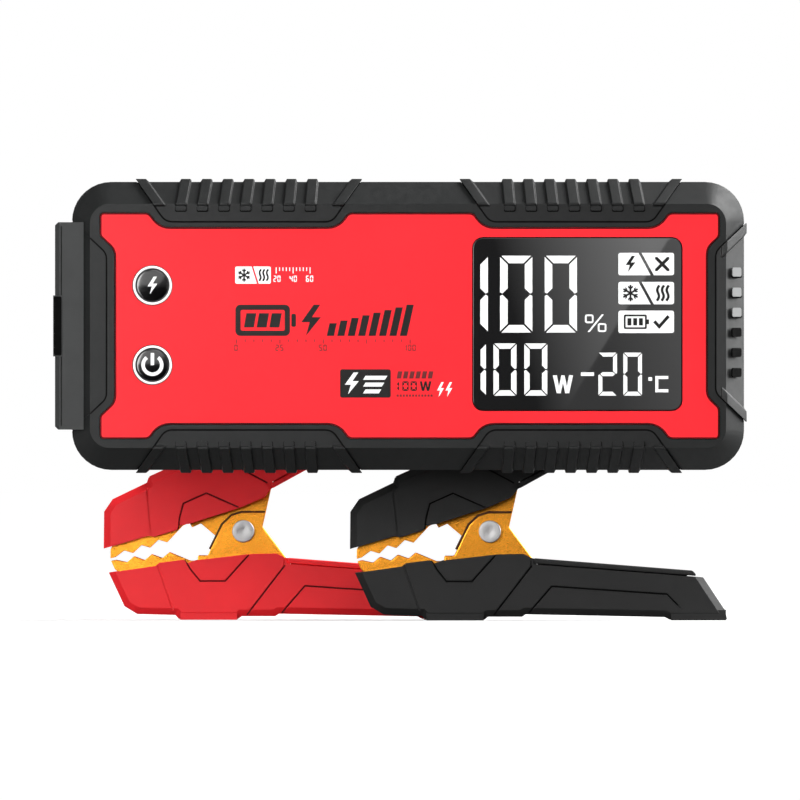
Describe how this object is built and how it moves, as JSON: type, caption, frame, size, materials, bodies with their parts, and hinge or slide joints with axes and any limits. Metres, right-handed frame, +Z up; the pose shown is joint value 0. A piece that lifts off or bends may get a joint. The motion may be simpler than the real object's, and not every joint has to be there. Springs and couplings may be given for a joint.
{
  "type": "jump starter pack",
  "caption": "Hand-sized car jump starter pack with screen, buttons and hinged port cover, standing with two sprung battery clamps behind it.",
  "frame": {"origin": "middle of the object's box at the height of the clamps' feet, where they stand on the floor", "axes": "+Z up, +X to the right and +Y to the back as one looks at the screen"},
  "size_m": [0.2294, 0.1096, 0.1463],
  "materials": {
    "case_plastic": "satin black moulded plastic, fine texture",
    "grip_rubber": "matte black rubber",
    "panel_red": "satin red sheet",
    "gloss_black": "glossy near-black",
    "ring_white": "white",
    "display_module": "grey module",
    "board_green": "green solder mask",
    "cell_wrap": "blue film",
    "lamp_lens": "clear ribbed lens",
    "jaw_brass": "stamped, lightly brushed",
    "pin_steel": "brushed",
    "spring_steel": "bright drawn wire",
    "clamp_red": "satin red moulded plastic",
    "clamp_black": "satin black moulded plastic",
    "socket_black": "black moulded plastic"
  },
  "bodies": {
    "pack": {"front_housing": "case_plastic", "rear_housing": "case_plastic", "housing_screw_1": "pin_steel", "housing_screw_2": "pin_steel", "housing_screw_3": "pin_steel", "housing_screw_4": "pin_steel", "front_panel": "panel_red", "display_window": "gloss_black", "lcd_module": "display_module", "boost_ring": "ring_white", "boost_switch": "socket_black", "power_ring": "ring_white", "power_switch": "socket_black", "main_board": "board_green", "battery_cell_1": "cell_wrap", "battery_cell_2": "cell_wrap", "battery_cell_3": "cell_wrap", "battery_cell_4": "cell_wrap", "jump_socket": "socket_black", "usb_a_socket": "socket_black", "usb_c_socket": "socket_black", "dc_socket": "socket_black", "port_frame": "grip_rubber", "cover_hinge_pin": "pin_steel", "end_bumper": "grip_rubber", "grip_top_left": "grip_rubber", "grip_top_right": "grip_rubber", "grip_bottom_left": "grip_rubber", "grip_bottom_right": "grip_rubber", "lamp_lens": "lamp_lens", "lamp_board": "board_green", "red_lower_shell": "clamp_red", "red_lower_lid": "clamp_red", "red_lower_jaw": "jaw_brass", "red_pivot_pin": "pin_steel", "red_spring": "spring_steel", "black_lower_shell": "clamp_black", "black_lower_lid": "clamp_black", "black_lower_jaw": "jaw_brass", "black_pivot_pin": "pin_steel", "black_spring": "spring_steel"},
    "boost_button": {"boost_button": "gloss_black"},
    "power_button": {"power_button": "gloss_black"},
    "port_cover": {"port_cover": "case_plastic"},
    "red_upper_lever": {"red_upper_shell": "clamp_red", "red_upper_lid": "clamp_red", "red_upper_jaw": "jaw_brass"},
    "black_upper_lever": {"black_upper_shell": "clamp_black", "black_upper_lid": "clamp_black", "black_upper_jaw": "jaw_brass"}
  },
  "joints": [
    {"name": "boost_press", "type": "slide", "parent": "pack", "child": "boost_button", "axis": [0, 1, 0], "range_m": [0, 0.0008], "stiffness_N_per_m": 600, "springref_m": -0.0005},
    {"name": "power_press", "type": "slide", "parent": "pack", "child": "power_button", "axis": [0, 1, 0], "range_m": [0, 0.0008], "stiffness_N_per_m": 600, "springref_m": -0.0005},
    {"name": "port_cover_hinge", "type": "hinge", "parent": "pack", "child": "port_cover", "pos_m": [-0.10686, -0.01143, 0.09765], "axis": [0, 0, -1], "range_deg": [0, 100]},
    {"name": "red_clamp_hinge", "type": "hinge", "parent": "pack", "child": "red_upper_lever", "pos_m": [-0.0522, 0.0388, 0.0295], "axis": [0, 1, 0], "range_deg": [0, 30], "stiffness_Nm_per_rad": 1, "springref_deg": -57.3, "deforming": ["red_spring"]},
    {"name": "black_clamp_hinge", "type": "hinge", "parent": "pack", "child": "black_upper_lever", "pos_m": [0.0298, 0.0065, 0.0295], "axis": [0, 1, 0], "range_deg": [0, 30], "stiffness_Nm_per_rad": 1, "springref_deg": -57.3, "deforming": ["black_spring"]}
  ]
}
